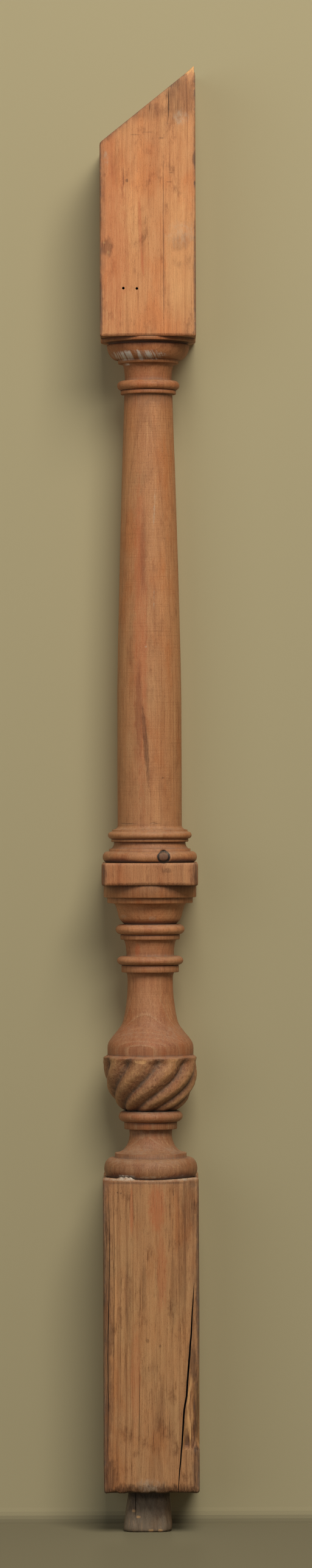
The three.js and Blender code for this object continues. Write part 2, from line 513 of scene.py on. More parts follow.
def tipShare(place):
    x, y, z = place.T
    edge = z - brokenTip["z"] + 1.2 * lumps(place, (2.5, 6, 3), 22)
    return ease(-0.5, 0.5, edge) * ease(brokenTip["x"] - 1, brokenTip["x"] + 1, x) * ease(2, -6, y)


def knotDistance(place):
    away = place - np.array([knot["x"], knot["y"], knot["z"]])
    lean = np.arctan2(away[:, 2], away[:, 0])
    outline = knot["radius"] * (1 + 0.09 * np.cos(lean) + 0.07 * np.cos(3 * lean + 0.6))
    return np.hypot(away[:, 0], away[:, 2]) - outline + 90 * ease(-22, -16, place[:, 1])


def reliefDepth(place):
    z = place[:, 2]
    lower = within("lower", z)
    top = ease(683.5, 684.5, z)
    middle = within("middle", z)
    turned = 1 - np.maximum.reduce([lower, top, middle, ease(25, 24, z)])
    grain = grainPlaces(place)
    ring = np.hypot(grain[:, 0], grain[:, 1]) / ringGap
    early = 0.5 + 0.5 * np.cos(2 * math.pi * ring)
    depth = roughness(lower, place, "lowerWave")
    depth += roughness(top, place, "topWave")
    depth += roughness(turned, place, "turnedWave")
    weathered = lower * (0.35 + 0.65 * ease(-12, -22, place[:, 0])) + 0.12 * (top + middle)
    depth += roughness(weathered, place, "raisedGrain", early)
    torn = tornShare(place)
    fibres = lumps(place, (1.1, 4, 22), 27) + 0.6 * lumps(place, (0.8, 4, 9), 28)
    depth += torn * np.maximum(0.2, tornStrip["depth"] + tornStrip["ridge"] * fibres)
    depth += tipShare(place) * (brokenTip["depth"] + 0.4 * lumps(place, (3, 5, 2), 29))
    depth += roughness(within("whittled", z), place, "whittling")
    rim = abs(knotDistance(place))
    depth += 0.55 * np.exp(-(rim / 0.45) ** 2)
    depth += roughness(within("carved", z), place, "serration")
    return depth


def faceDirections(place, isBlock):
    radius = np.hypot(place[:, 0], place[:, 1]) + 1e-6
    radial = place[:, :2] / radius[:, None]
    biggest = np.max(abs(radial), axis=1)[:, None]
    flat = np.sign(radial) * (abs(radial) / biggest) ** 24
    flat /= np.linalg.norm(flat, axis=1)[:, None]
    return np.where(isBlock[:, None], flat, radial)


def carveRelief(place):
    z = place[:, 2]
    isBlock = (z < 202) | ((z > 370) & (z < 383.6)) | (z > 683.7)
    inwards = faceDirections(place, isBlock)
    carved = place.copy()
    carved[:, :2] -= inwards * reliefDepth(place)[:, None]
    # ragged lower edge, and crumbs in the dish
    nearEdge = ease(27, 24.5, z) * ease(23, 24, z) * ease(22, 26, np.max(abs(place[:, :2]), axis=1))
    carved[:, 2] += 1.1 * nearEdge * np.maximum(0, lumps(place, (2.2, 2.2, 9), 32))
    inDish = within("dish", z) * (np.hypot(place[:, 0], place[:, 1]) < 29)
    carved[:, 2] += crumbShare(place) * inDish * (0.9 + 0.7 * lumps(place, (1.4, 1.4, 4), 33))
    return carved


def crumbShare(place):
    x, y = place.T[:2]
    left = ease(-19.5, -17, x) * ease(-8.5, -11, x)
    right = 0.5 * ease(17, 19, x) * ease(22.5, 20.5, x)
    return (left + right) * ease(-18, -20, y) * ease(-27.2, -26.4, y)


plain = np.concatenate(rings)
skinPlaces = carveRelief(plain)
skinPlaces[:, 0] = np.clip(skinPlaces[:, 0], -block["half"], block["half"])
skinPlaces[:, 1] = np.clip(skinPlaces[:, 1], -block["half"], block["half"])
print("relief carved")


def skinMesh(places):
    count, across = len(rings), len(bearing)
    ids = np.arange(count * across).reshape(count, across)
    following = np.roll(ids, -1, axis=1)
    quads = np.stack([ids[:-1], following[:-1], following[1:], ids[1:]], axis=-1).reshape(-1, 4)
    bottom, top = count * across, count * across + 1
    middles = [places[:across].mean(axis=0), places[-across:].mean(axis=0)]
    fans = [(bottom, b, a) for a, b in zip(ids[0], following[0])]
    fans += [(top, a, b) for a, b in zip(ids[-1], following[-1])]
    mesh = bpy.data.meshes.new("baluster_wood")
    faces = quads.tolist() + [tuple(map(int, fan)) for fan in fans]
    mesh.from_pydata(np.concatenate([places, middles]) * mm, [], faces)
    mesh.validate()
    return mesh


def linked(name, mesh):
    made = bpy.data.objects.new(name, mesh)
    bpy.context.scene.collection.objects.link(made)
    return made


baluster = linked("turned_baluster", skinMesh(skinPlaces))


# Splits and nail holes, cut into the skin as thin wedges and bores

frontSplits = [  # path of (x, z) on the front, width and depth
    (shake["path"], shake["width"], shake["depth"]),
    ([(-24.3, 203), (-23.7, 165), (-24.1, 140), (-24.8, 104), (-24.6, 77), (-25.2, 40)], 0.5, 1.8),
    ([(-25.9, 198), (-25.6, 170), (-26, 150)], 0.3, 1.0),
    ([(-21.3, 200), (-21, 160), (-21.2, 129), (-21.6, 77)], 0.32, 0.9),
    ([(-14.9, 118), (-15.1, 96), (-14.9, 72)], 0.22, 0.6),
    ([(-6.7, 98), (-7, 66), (-7.3, 41)], 0.3, 0.9),
    ([(1.4, 62), (1.1, 54), (1.5, 47)], 0.25, 0.6),
    ([(10.6, 72), (10, 62), (10.3, 55)], 0.22, 0.6),
    ([(12.1, 826.5), (12.2, 818), (11.7, 805)], 0.42, 1.6),
    ([(1.2, 817), (1.3, 811)], 0.3, 0.9),
]
tenonSplits = [([(-12.6, 24), (-12.4, 17), (-12.7, 9.4)], 0.55, 3),
               ([(-9.5, 24), (-9.3, 16), (-9.6, 8.4)], 0.5, 3)]
shaftSplits = [([(-17, 406.2), (-14, 405.6), (-11, 406), (-6.5, 405.7)], 0.25, 0.4),
               ([(-1, 405.8), (2, 406.3), (4.5, 405.8), (7.5, 406.2)], 0.25, 0.4)]
nailHoles = {"places": [(-14, 711.1), (-6.3, 710.9)], "radius": 0.8, "depth": 13, "sides": 16}
pieces = {"points": [], "faces": []}


def addPiece(points, faces):
    start = len(pieces["points"])
    pieces["points"] += [tuple(point) for point in points]
    pieces["faces"] += [[start + i for i in face] for face in faces]


# a wedge along the path, lift stands clear of the surface
def addWedge(path, surface, width, depth, seed, lift=1.0):
    xs, zs = np.array(path).T
    run = np.concatenate([[0], np.cumsum(np.hypot(np.diff(xs), np.diff(zs)))])
    stations = max(4, int(run[-1] / 2.5))
    along = np.linspace(0, run[-1], stations)
    x, z = np.interp(along, run, xs), np.interp(along, run, zs)
    places = np.stack([x, surface(x, z), z], axis=1)
    jitter = 0.16 * lumps(np.stack([along, 0 * along, 0 * along], axis=1), (4, 9, 9), seed)
    heading = np.gradient(places, axis=0)
    outwards = np.stack([np.zeros(stations), -np.ones(stations), np.zeros(stations)], axis=1)
    if surface is shaftFront:
        outwards = np.stack([x, places[:, 1], 0 * x], axis=1)
        outwards /= np.linalg.norm(outwards, axis=1)[:, None]
    side = np.cross(heading, outwards)
    side /= np.linalg.norm(side, axis=1)[:, None]
    taper = np.maximum(0.12, np.sin(np.pi * np.clip(along / run[-1], 0.01, 0.99)) ** 0.45)
    half = (width / 2 * taper * (1 + lift / depth))[:, None]
    middle = places + side * jitter[:, None]
    left, right = middle + outwards * lift - side * half, middle + outwards * lift + side * half
    root = middle - outwards * depth * taper[:, None]
    points = np.stack([left, right, root], axis=1).reshape(-1, 3)
    faces = [[0, 2, 1], [3 * stations - 3, 3 * stations - 2, 3 * stations - 1]]
    for i in range(0, 3 * stations - 3, 3):
        faces += [[i, i + 1, i + 4, i + 3], [i + 1, i + 2, i + 5, i + 4], [i + 2, i, i + 3, i + 5]]
    addPiece(points, faces)


def blockFront(x, z):
    return 0 * x - block["half"]


def tenonFront(x, z):
    share = z / tenon["length"]
    return -(tenon["halfAtEnd"] + (tenon["halfAtShoulder"] - tenon["halfAtEnd"]) * share)


def shaftFront(x, z):
    return -np.sqrt(18.6 ** 2 - x ** 2)


def addNailHole(x, z):
    sides = nailHoles["sides"]
    turn = np.arange(sides) * 2 * math.pi / sides
    circle = np.stack([np.cos(turn), 0 * turn, np.sin(turn)], axis=1) * nailHoles["radius"]
    front = circle + np.array([x, -block["half"] - 1, z])
    back = circle * 0.8 + np.array([x, -block["half"] + nailHoles["depth"], z])
    faces = [list(range(sides)), list(range(2 * sides - 1, sides - 1, -1))]
    faces += [[i, sides + i, sides + (i + 1) % sides, (i + 1) % sides] for i in range(sides)]
    addPiece(np.concatenate([front, back]), faces)


def cutSplits(wood):
    for i, (path, width, depth) in enumerate(frontSplits):
        addWedge(path, blockFront, width, depth, 41 + i)
    for i, (path, width, depth) in enumerate(tenonSplits):
        addWedge(path, tenonFront, width, depth, 61 + i)
    for i, (path, width, depth) in enumerate(shaftSplits):
        addWedge(path, shaftFront, width, depth, 71 + i)
    for x, z in nailHoles["places"]:
        addNailHole(x, z)
    mesh = bpy.data.meshes.new("split_cutters")
    mesh.from_pydata(np.array(pieces["points"]) * mm, [], pieces["faces"])
    mesh.validate()
    cutter = linked("split_cutters", mesh)
    cut = wood.modifiers.new("splits", "BOOLEAN")
    cut.operation = "DIFFERENCE"
    cut.solver = "EXACT"
    cut.object = cutter
    evaluated = wood.evaluated_get(bpy.context.evaluated_depsgraph_get())
    made = bpy.data.meshes.new_from_object(evaluated)
    made.name = "baluster_wood"
    wood.modifiers.clear()
    wood.data = made
    bpy.data.objects.remove(cutter)


before = len(baluster.data.vertices)
cutSplits(baluster)
print("splits cut,", before, "to", len(baluster.data.vertices), "points")


# What the wood material needs to know at every point

tones = {  # height, colour and how strongly the year rings show
    "stops": [
        (0, (.20, .15, .10), .6), (23, (.19, .14, .09), .6), (26, (.44, .225, .096), .8),
        (110, (.46, .23, .092), .8), (199, (.43, .215, .09), .8), (206, (.31, .145, .065), .45),
        (240, (.35, .145, .062), .4), (243, (.30, .13, .06), .4), (270, (.31, .135, .06), .4),
        (273, (.33, .13, .055), .35), (285, (.34, .135, .056), .3), (305, (.41, .17, .07), .3),
        # painted light: the bell's stops (350 and 362) are lighter so that its down-facing curve reads
        # brighter
        (340, (.41, .175, .073), .4), (350, (.50, .21, .085), .4), (362, (.50, .21, .085), .4),
        (372, (.42, .185, .075), .3), (386, (.41, .178, .073), .4), (402, (.43, .195, .08), .35),
        (470, (.44, .203, .082), .35), (600, (.45, .205, .083), .35), (640, (.42, .185, .073), .45),
        (652, (.38, .15, .056), .5), (683, (.37, .145, .055), .6), (686, (.55, .24, .09), .3),
        (760, (.58, .26, .098), .3), (838, (.54, .235, .088), .35),
    ]}
# the grime weight also scales painted shade in hollows, grooves and under-faces
weatheringAndShade = {"dust": 0.48, "grimeAndShade": 0.7, "smoothing": 2}


def woodTones(z):
    heights = [stop[0] for stop in tones["stops"]]
    values = np.array([(*colour, rings) for _, colour, rings in tones["stops"]])
    return np.stack([np.interp(z, heights, values[:, k]) for k in range(4)], axis=1)


# how far each point lies below (positive) or above its neighbours, in mm
def hollowness(mesh, place, normal):
    edges = np.zeros(2 * len(mesh.edges), np.int64)
    mesh.edges.foreach_get("vertices", edges)
    a, b = edges.reshape(-1, 2).T
    count = np.bincount(a, minlength=len(place)) + np.bincount(b, minlength=len(place))

    def neighbourMean(values):
        total = np.bincount(a, values[b], len(place)) + np.bincount(b, values[a], len(place))
        return total / np.maximum(count, 1)

    middle = np.stack([neighbourMean(place[:, k]) for k in range(3)], axis=1)
    deep = np.einsum("ij,ij->i", middle - place, normal)
    for _ in range(weatheringAndShade["smoothing"]):
        deep = 0.5 * deep + 0.5 * neighbourMean(deep)
    return deep


# crests and grooves of the cup's lobes, for a painted highlight on the crests and painted shade in the
# grooves
def lobeShares(place):
    x, y, z = place.T
    down = np.clip((cup["rim"] - z) / (cup["rim"] - cup["foot"]), 0, 1)
    twist = cup["twist"] * down + cup["twistGain"] * down * down
    turns = (np.degrees(np.arctan2(x, -y)) + twist - cup["firstGroove"]) * cup["lobes"] / 360
    across = turns - np.floor(turns)
    inCup = within("wornCup", z)
    crest = ease(0.38, 0.05, abs(across - 0.46)) * inCup
    groove = ease(0.2, 0.03, np.minimum(across, 1 - across)) * inCup
    return inCup, crest, groove


def storeAttribute(mesh, name, kind, values):
    layer = mesh.attributes.new(name, kind, "POINT")
    field = {"FLOAT": "value", "FLOAT_VECTOR": "vector", "FLOAT_COLOR": "color"}[kind]
    layer.data.foreach_set(field, np.ascontiguousarray(values, np.float32).ravel())


def storeSurface(mesh):
    place = np.zeros(3 * len(mesh.vertices))
    mesh.vertices.foreach_get("co", place)
    place = place.reshape(-1, 3) / mm
    normal = np.zeros(3 * len(mesh.vertices), np.float32)
    mesh.vertex_normals.foreach_get("vector", normal)
    normal = normal.reshape(-1, 3)
    x, y, z = place.T
    deep = hollowness(mesh, place, normal)
    patches = 0.5 + 0.5 * lumps(place, (9, 9, 7), 81)
    inCup, crest, groove = lobeShares(place)
    isBlock = within("wornLower", z) + ease(684, 687, z) + within("wornMiddle", z)
    up = ease(0.25, 0.85, normal[:, 2]) * ease(780, 760, z)
    dust = up * (0.35 + 0.85 * patches) + 0.2 * ease(0.02, 0.2, deep) * ease(-0.2, 0.2, normal[:, 2])
    dust += 0.5 * ease(30, 4, z) * patches + 0.55 * isBlock * within("shoulder", z)
    # painted shade: hollows and creases darken with their depth, and faces turned downwards darken a little
    grimeAndShade = ease(0.015, 0.16, deep) * (0.5 + 0.5 * patches)
    grimeAndShade += 0.12 * ease(-0.2, -0.8, normal[:, 2]) * ease(2, 10, z)
    # the blocks darken towards their arrises
    corner = np.minimum(abs(x), abs(y))
    nearArris = 2 * ease(25.9, 27, corner) + (0.3 + 0.35 * (z < 210)) * ease(20, 27, corner)
    grimeAndShade += isBlock * nearArris * (0.25 + 0.75 * patches)
    belowRake = rakeAt(x) - z
    nearRake = 0.8 * ease(1.8, 0, belowRake) + 0.5 * ease(7, 0, belowRake) + 0.22 * ease(45, 4, belowRake)
    grimeAndShade += nearRake * (0.3 + 0.7 * patches) * ease(700, 710, z)
    grimeAndShade += 0.9 * ease(0.3, 0.7, normal[:, 2]) * ease(780, 790, z)
    # painted shade in the cup's grooves and over the lobes away from their crests
    grimeAndShade += 0.85 * groove + 0.25 * (inCup - crest) * patches
    grimeAndShade *= 1 - tipShare(place)
    # fresh wood of the torn strip and broken tip, and a painted highlight along the cup's crests
    freshAndHighlight = 0.9 * tornShare(place) * ease(-0.4, 0.7, lumps(place, (1.2, 5, 16), 82)) * ease(92, 86, z)
    freshAndHighlight += 0.9 * tipShare(place) + crest * (0.05 + 0.35 * patches)
    layers = np.stack([weatheringAndShade["dust"] * dust, weatheringAndShade["grimeAndShade"] * grimeAndShade, freshAndHighlight], axis=1)
    storeAttribute(mesh, "grainPlace", "FLOAT_VECTOR", grainPlaces(place))
    storeAttribute(mesh, "woodTone", "FLOAT_COLOR", woodTones(z))
    storeAttribute(mesh, "ageingAndPaintedLight", "FLOAT_VECTOR", np.clip(layers, 0, 1))
    storeAttribute(mesh, "turned", "FLOAT", 1 - np.clip(isBlock + inCup + ease(25, 23, z), 0, 1))
    storeAttribute(mesh, "crumbs", "FLOAT", crumbShare(place) * within("crumbs", z))


storeSurface(baluster.data)
for face in baluster.data.polygons:
    face.use_smooth = True
baluster.data.set_sharp_from_angle(angle=math.radians(48))
print("surface stored")


# Marks on the front, in (x, z, half width, half height, lean, strength)

marks = {
    "dark": [
        (19, 819, 9, 13, 0, 0.6), (-11.8, 772.3, 0.8, 1.2, 0, 0.8), (-13.7, 775, 0.35, 7, 0, 0.6),
        (13.4, 776.8, 1.4, 0.3, 0, 0.6), (12.3, 771.6, 2.1, 0.3, 0, 0.6), (9, 740, 0.4, 54, 0, 0.6),
        (-23.7, 734.3, 3.8, 5.8, 0, 0.75), (26.6, 785, 1, 4, 0, 0.8), (26.8, 771, 0.6, 1.2, 0, 0.8),
        (26.2, 685.5, 1.2, 0.8, 0, 0.6), (8.1, 796.6, 1.7, 0.5, 0, 0.5),
        (-6.9, 798.5, 3.3, 0.35, 0, 0.4), (-0.5, 800, 3.1, 0.35, 0, 0.4),
        (-2.3, 453, 1.5, 25, -0.08, 0.75), (26.9, 150, 1.6, 56, 0, 0.75), (7.7, 432, 0.6, 0.6, 0, 0.7),
        (-6, 470, 2.2, 30, 0, 0.4), (-3, 562, 2, 26, 0, 0.35), (23, 200, 2.5, 2.6, 0, 0.6),
        (19.5, 174, 3.4, 14, 0, 0.4), (-23.5, 33, 4.6, 11, 0, 0.75), (23.6, 99, 2.6, 13, -0.1, 0.75),
        (25.6, 74, 1.6, 22, 0, 0.75), (25.3, 48, 1.2, 3.6, 0, 0.9), (-2, 111, 0.9, 1.3, 0, 0.5),
        (4.9, 108, 0.8, 1, 0, 0.5), (-19.1, 195.6, 0.5, 0.5, 0, 0.8), (-17, 195.2, 0.5, 0.5, 0, 0.8),
        (-17.6, 110, 0.3, 64, 0, 0.4), (-12.1, 96, 0.3, 52, 0, 0.4), (-26.5, 112, 4.4, 98, 0, 0.7),
        (0, 201, 32, 0.8, 0, 0.5), (13, 140, 2, 22, 0, 0.3), (-4, 140, 1.4, 16, 0, 0.35),
        (6, 70, 2, 18, 0, 0.3), (18, 150, 3, 30, 0, 0.35), (-13, 135, 2.2, 26, 0, 0.35),
        (19, 737, 6, 5, 0.3, 0.35), (0, 684.6, 32, 0.9, 0, 0.55), (-26.8, 700, 1.3, 22, 0, 0.7),
        (26.9, 715, 1.1, 30, 0, 0.6), (10, 379.1, 2.6, 1.5, 0, 0.5), (-21, 803, 7, 11, 0.9, 0.6),
        (0, 812, 15, 5, 0, 0.3), (-26, 760, 2, 70, 0, 0.3), (0, 24, 40, 5.5, 0, 1),
        (21, 187, 5, 17, 0, 0.5), (25.5, 36, 2.4, 13, 0, 0.6), (-26.6, 376, 2, 9, 0, 0.8),
        (26.4, 376, 2.2, 9, 0, 0.8), (0, 371, 32, 1.2, 0, 0.7),
    ],
    "grey": [
        (19.2, 808.5, 4.3, 4.6, 0, 0.5), (-23.7, 784.5, 1.4, 4.6, 0, 0.5), (19, 742, 8, 7, 0, 0.35),
        (1.2, 351.3, 2.2, 1.5, 0, 0.65), (-15.5, 352.5, 2, 1.3, 0, 0.5), (-1, 28.5, 8, 3.6, 0, 0.5),
        (0, 203.3, 34, 1.3, 0, 0.75), (3.2, 585, 0.6, 10.5, 0.05, 0.5), (2.9, 535, 0.45, 6, 0, 0.5),
        (-1.9, 507, 0.7, 0.7, 0, 0.6),
    ],
    "red": [
        (-4.4, 748, 0.9, 15, -0.02, 0.6), (-3.2, 726, 0.8, 9, -0.1, 0.55), (-5, 511, 4, 88, 0, 0.5),
        (-20, 735, 9, 50, 0, 0.4), (-11, 185, 1.1, 14, 0, 0.5), (3.3, 187, 4.6, 14, 0, 0.6),
        (6, 150, 3, 22, 0, 0.4), (-9, 90, 3, 30, 0, 0.35), (-7.2, 333.5, 1.5, 3.6, 0, 0.7),
        (-24, 790, 6, 60, 0, 0.3),
    ],
    "freshAndHighlight": [
        (21.6, 81, 0.8, 10, 0.12, 0.9), (21.4, 63, 0.9, 11, -0.08, 0.9), (-7.8, 8.8, 1.2, 0.8, 0, 0.8),
        (-10.4, 12.2, 1, 0.8, 0, 0.7), (-0.6, 1, 1.5, 0.9, 0, 0.7), (4.9, 1, 1.5, 0.9, 0, 0.7),
        (-5.3, 269.7, 3.1, 1.3, 0, 0.6), (-24.8, 737, 0.8, 0.8, 0, 0.7),
        (-22.6, 731.5, 0.7, 0.9, 0, 0.7), (19, 728, 9, 42, 0, 0.25),
    ],
    "paint": [(-8, 673.6, 15.8, 2.6, 0, 0.9), (-13.5, 669, 3.6, 0.7, 0, 0.8)],
}


# Node helpers

def addNode(tree, kind, inputs=None, **settings):
    node = tree.nodes.new(kind)
    for name, value in settings.items():
        setattr(node, name, value)
    for name, value in (inputs or {}).items():
        if isinstance(value, bpy.types.NodeSocket):
            tree.links.new(value, node.inputs[name])
        else:
            node.inputs[name].default_value = value
    return node


def calc(tree, operation, *values, clamp=False):
    node = addNode(tree, "ShaderNodeMath", dict(enumerate(values)), operation=operation, use_clamp=clamp)
    return node.outputs[0]


def vectorCalc(tree, operation, *values):
    node = addNode(tree, "ShaderNodeVectorMath", dict(enumerate(values)), operation=operation)
    return node.outputs["Value" if operation in ("LENGTH", "DOT_PRODUCT") else "Vector"]


def remap(tree, value, low, high, toLow=0.0, toHigh=1.0):
    node = addNode(tree, "ShaderNodeMapRange", {0: value, 1: low, 2: high, 3: toLow, 4: toHigh},
                   interpolation_type="SMOOTHSTEP")
    return node.outputs[0]


def mixColour(tree, factor, first, second, mode="MIX"):
    node = addNode(tree, "ShaderNodeMix", {0: factor, 6: first, 7: second},
                   data_type="RGBA", blend_type=mode)
    return node.outputs[2]


def noise(tree, place, scale, detail=3.0, roughness=0.55):
    stretched = vectorCalc(tree, "MULTIPLY", place, scale)
    node = addNode(tree, "ShaderNodeTexNoise", {"Vector": stretched, "Scale": 1.0, "Detail": detail,
                                                "Roughness": roughness})
    return node.outputs[0]


def attribute(tree, name, output):
    return addNode(tree, "ShaderNodeAttribute", attribute_name=name).outputs[output]


# one soft-edged mark, as a group used once for each
def markGroup():
    tree = bpy.data.node_groups.new("mark", "ShaderNodeTree")
    for name in ("x", "z", "edge", "centreX", "centreZ", "halfWidth", "halfHeight", "lean", "strength"):
        tree.interface.new_socket(name, in_out="INPUT", socket_type="NodeSocketFloat")
    tree.interface.new_socket("amount", in_out="OUTPUT", socket_type="NodeSocketFloat")
    given = tree.nodes.new("NodeGroupInput").outputs
    dz = calc(tree, "SUBTRACT", given["z"], given["centreZ"])
    dx = calc(tree, "SUBTRACT", given["x"], given["centreX"])
    dx = calc(tree, "SUBTRACT", dx, calc(tree, "MULTIPLY", dz, given["lean"]))
    across = calc(tree, "POWER", calc(tree, "ABSOLUTE", calc(tree, "DIVIDE", dx, given["halfWidth"])), 2.0)
    along = calc(tree, "POWER", calc(tree, "ABSOLUTE", calc(tree, "DIVIDE", dz, given["halfHeight"])), 2.0)
    reach = calc(tree, "ADD", calc(tree, "SQRT", calc(tree, "ADD", across, along)), given["edge"])
    inside = remap(tree, reach, 1.25, 0.55)
    amount = calc(tree, "MULTIPLY", inside, given["strength"])
    addNode(tree, "NodeGroupOutput", {"amount": amount})
    return tree


def markLayer(tree, group, kind, x, z, edge):
    total = None
    for centreX, centreZ, halfWidth, halfHeight, lean, strength in marks[kind]:
        node = addNode(tree, "ShaderNodeGroup", node_tree=group)
        for name, value in (("x", x), ("z", z), ("edge", edge)):
            tree.links.new(value, node.inputs[name])
        for name, value in (("centreX", centreX), ("centreZ", centreZ), ("halfWidth", halfWidth),
                            ("halfHeight", halfHeight), ("lean", lean), ("strength", strength)):
            node.inputs[name].default_value = value
        total = node.outputs[0] if total is None else calc(tree, "MAXIMUM", total, node.outputs[0])
    return total


patterns = {  # along the grain or in place, cells per mm along x, y and z, detail and roughness
    "fine": ("grain", (3.4, 3.4, 0.07), 4.0, 0.6), "medium": ("grain", (0.8, 0.8, 0.018), 4.0, 0.6),
    "broad": ("grain", (0.13, 0.13, 0.011), 3.0, 0.55), "hairs": ("grain", (4.6, 4.6, 0.11), 3.0, 0.65),
    "flecks": ("grain", (4.5, 4.5, 0.4), 2.0, 0.55), "checks": ("grain", (1.9, 1.9, 0.055), 3.0, 0.6),
    "ragged": ("grain", (1.1, 1.1, 0.05), 2.0, 0.55), "cloud": ("place", (0.09, 0.09, 0.045), 4.0, 0.6),
    "patches": ("place", (0.06, 0.06, 0.028), 3.0, 0.6), "speckle": ("place", (1.9, 1.9, 1.3), 4.0, 0.7),
    "dirt": ("place", (0.16, 0.16, 0.07), 5.0, 0.68), "turning": ("place", (0.04, 0.04, 2.4), 3.0, 0.65),
    "gouged": ("place", (0.75, 0.75, 0.6), 5.0, 0.72), "markEdge": ("place", (0.5, 0.5, 0.22), 4.0, 0.65),
    "blotches": ("place", (0.45, 0.45, 0.3), 5.0, 0.7),
}
patchFigures = [  # pattern, where it sets in, where it is full, how much, tint, how it is mixed
    ("patches", 0.5, 0.7, 0.6, (.96, .72, .52, 1), "MULTIPLY"),
    ("patches", 0.5, 0.32, 0.7, (1.04, 1.15, 1.2, 1), "MULTIPLY"),
]
fibreFigures = [
    ("hairs", 0.54, 0.74, 0.42, (.40, .29, .21, 1), "MULTIPLY"),
    ("hairs", 0.44, 0.25, 0.2, (.75, .50, .28, 1), "MIX"),
    ("fine", 0.35, 0.75, 0.35, (.42, .33, .26, 1), "MULTIPLY"),
    ("medium", 0.5, 0.8, 0.55, (.55, .40, .30, 1), "MULTIPLY"),
    ("medium", 0.45, 0.2, 0.3, (.66, .38, .17, 1), "MIX"),
    ("broad", 0.5, 0.75, 0.5, (.78, .60, .48, 1), "MULTIPLY"),
    ("broad", 0.5, 0.3, 0.35, (1.25, 1.2, 1.15, 1), "MULTIPLY"),
    ("cloud", 0.55, 0.8, 0.45, (.60, .52, .48, 1), "MULTIPLY"),
    ("speckle", 0.5, 0.72, 0.5, (.50, .41, .35, 1), "MULTIPLY"),
]
wood = {
    "ringDark": 0.55, "lateTint": (.36, .25, .17, 1), "paleRing": (.62, .38, .20, 1),
    "dirtTint": (.46, .36, .29, 1), "turningTint": (.55, .43, .35, 1), "checkTint": (.30, .20, .14, 1),
    "fleckTint": (.30, .22, .17, 1), "gougeTint": (.42, .29, .22, 1), "paleGouge": (.52, .30, .13, 1),
    "knotColour": (.17, .078, .04, 1), "knotRing": (.09, .04, .022, 1), "knotRim": (.02, .013, .01, 1),
    # the crevice tint and reach paint shade into occluded creases
    "markTint": (.22, .17, .14, 1), "paintedShadeTint": (.38, .19, .11, 1), "shadeOcclusionReach": 7.5,
    # the fresh colour is also a painted highlight on the cup's crests
    "redColour": (.42, .11, .035, 1), "highlightAndFreshColour": (.72, .40, .16, 1), "greyColour": (.46, .35, .24, 1),
    # the grime colour also carries painted shade in hollows, grooves and under-faces
    "shadeAndGrimeColour": (.10, .075, .055, 1), "dustColour": (.34, .25, .17, 1),
    "paintColour": (.56, .48, .41, 1), "crumbColour": (.60, .52, .42, 1),
    "roughness": 0.52, "bump": 0.5, "bumpHeight": 0.4, "sheen": 0.34,
}
grainHeights = [("fine", -0.55), ("late", 0.35), ("medium", -0.4), ("hairs", -0.4), ("ridges", 0.5),
                ("speckle", -0.45), ("flecks", -0.3), ("checks", -0.8), ("gouging", -2.2)]


def product(tree, *values):
    total = values[0]
    for value in values[1:]:
        total = calc(tree, "MULTIPLY", total, value)
    return total


def withinNodes(tree, name, z):
    begins, ends = fades[name]
    return product(tree, remap(tree, z, *begins), remap(tree, z, *ends))


# multiplies a colour by a tint
def darken(tree, colour, amount, tint):
    return mixColour(tree, amount, colour, tint, "MULTIPLY")


def figured(tree, seen, colour, figures):
    for name, low, high, amount, tint, mode in figures:
        colour = mixColour(tree, remap(tree, seen[name], low, high, 0, amount), colour, tint, mode)
    return colour


# year rings, late wood darkening to a crisp edge
def yearRings(tree, seen):
    fromPith = vectorCalc(tree, "LENGTH", vectorCalc(tree, "MULTIPLY", seen["grain"], (1, 1, 0)))
    along = product(tree, fromPith, 0.16)
    spacing = addNode(tree, "ShaderNodeTexNoise", {"W": along, "Scale": 1.0, "Detail": 1.0},
                      noise_dimensions="1D").outputs[0]
    turn = calc(tree, "MULTIPLY_ADD", spacing, 3.0, calc(tree, "DIVIDE", fromPith, ringGap))
    turn = calc(tree, "ADD", turn, calc(tree, "MULTIPLY_ADD", seen["ragged"], 0.5, -0.25))
    share = calc(tree, "FRACT", turn)
    late = product(tree, remap(tree, share, 0.5, 0.92), remap(tree, share, 1.0, 0.95))
    eachRing = addNode(tree, "ShaderNodeTexWhiteNoise", {"W": calc(tree, "FLOOR", turn)},
                       noise_dimensions="1D").outputs[0]
    return product(tree, late, remap(tree, eachRing, -0.2, 0.9, 0.15, 1.0))


# everything that the finish is mixed from, by name
def woodPatterns(tree):
    place = vectorCalc(tree, "SCALE", addNode(tree, "ShaderNodeTexCoord").outputs["Object"])
    place.node.inputs["Scale"].default_value = 1 / mm
    seen = {"place": place, "grain": attribute(tree, "grainPlace", "Vector")}
    for name, (space, *values) in patterns.items():
        seen[name] = noise(tree, seen[space], *values)
    seen.update(zip("xyz", addNode(tree, "ShaderNodeSeparateXYZ", {0: place}).outputs))
    ageingAndPaintedLight = addNode(tree, "ShaderNodeSeparateXYZ", {0: attribute(tree, "ageingAndPaintedLight", "Vector")})
    seen.update(zip(("dust", "grimeAndShade", "freshAndHighlight"), ageingAndPaintedLight.outputs))
    seen["late"] = yearRings(tree, seen)
    seen["rings"] = attribute(tree, "woodTone", "Alpha")
    seen["isTurned"] = attribute(tree, "turned", "Fac")
    seen["front"] = remap(tree, seen["y"], -4.0, -10.0)
    seen["inCup"] = withinNodes(tree, "gouged", seen["z"])
    weathered = product(tree, remap(tree, seen["rings"], 0.5, 0.8), remap(tree, seen["dirt"], 0.42, 0.6))
    seen["checks"] = product(tree, remap(tree, seen["checks"], 0.58, 0.66), weathered)
    seen["flecks"] = remap(tree, seen["flecks"], 0.64, 0.74)
    seen["ridges"] = product(tree, seen["turning"], seen["isTurned"])
    seen["gouging"] = product(tree, seen["gouged"], seen["inCup"])
    seen["streaks"] = remap(tree, seen["hairs"], 0.35, 0.6, 0.5, 1.0)
    seen["blotches"] = remap(tree, seen["blotches"], 0.3, 0.7)
    return seen


